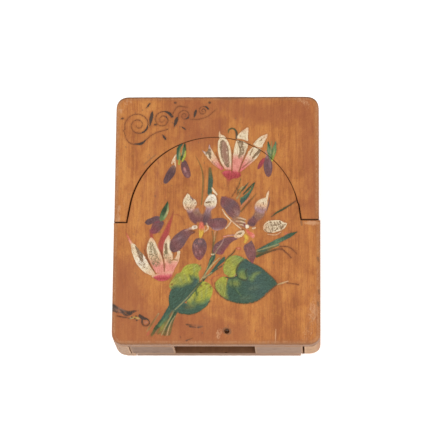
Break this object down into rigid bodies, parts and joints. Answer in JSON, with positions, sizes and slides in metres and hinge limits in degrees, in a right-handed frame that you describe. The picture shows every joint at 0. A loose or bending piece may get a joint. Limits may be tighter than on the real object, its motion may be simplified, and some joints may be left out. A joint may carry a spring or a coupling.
{
  "type": "pocket watch case",
  "caption": "Flat rectangular wooden watch case of glued boards, with a round-tongued cover that slides off over a keyhole recess and a painted flower front.",
  "frame": {"origin": "under the middle of the case, on the surface that the back lies on", "axes": "+Z out of the painted front, +Y along the case to its upper end with the arch, +X to the right of the front"},
  "size_m": [0.075, 0.0928, 0.022],
  "materials": {
    "front_wood": "varnished, hand-painted, worn",
    "rail_wood": "worn bare wood",
    "block_wood": "bare wood, greyed end grain",
    "back_wood": "worn varnish"
  },
  "bodies": {
    "case": {"back_board": "back_wood", "watch_block": "block_wood", "arch_panel": "front_wood"},
    "cover": {"cover_panel": "front_wood", "left_rail": "rail_wood", "right_rail": "rail_wood"}
  },
  "joints": [
    {"name": "cover_slide", "type": "slide", "parent": "case", "child": "cover", "axis": [0, -1, 0], "range_m": [0, 0.038]}
  ]
}
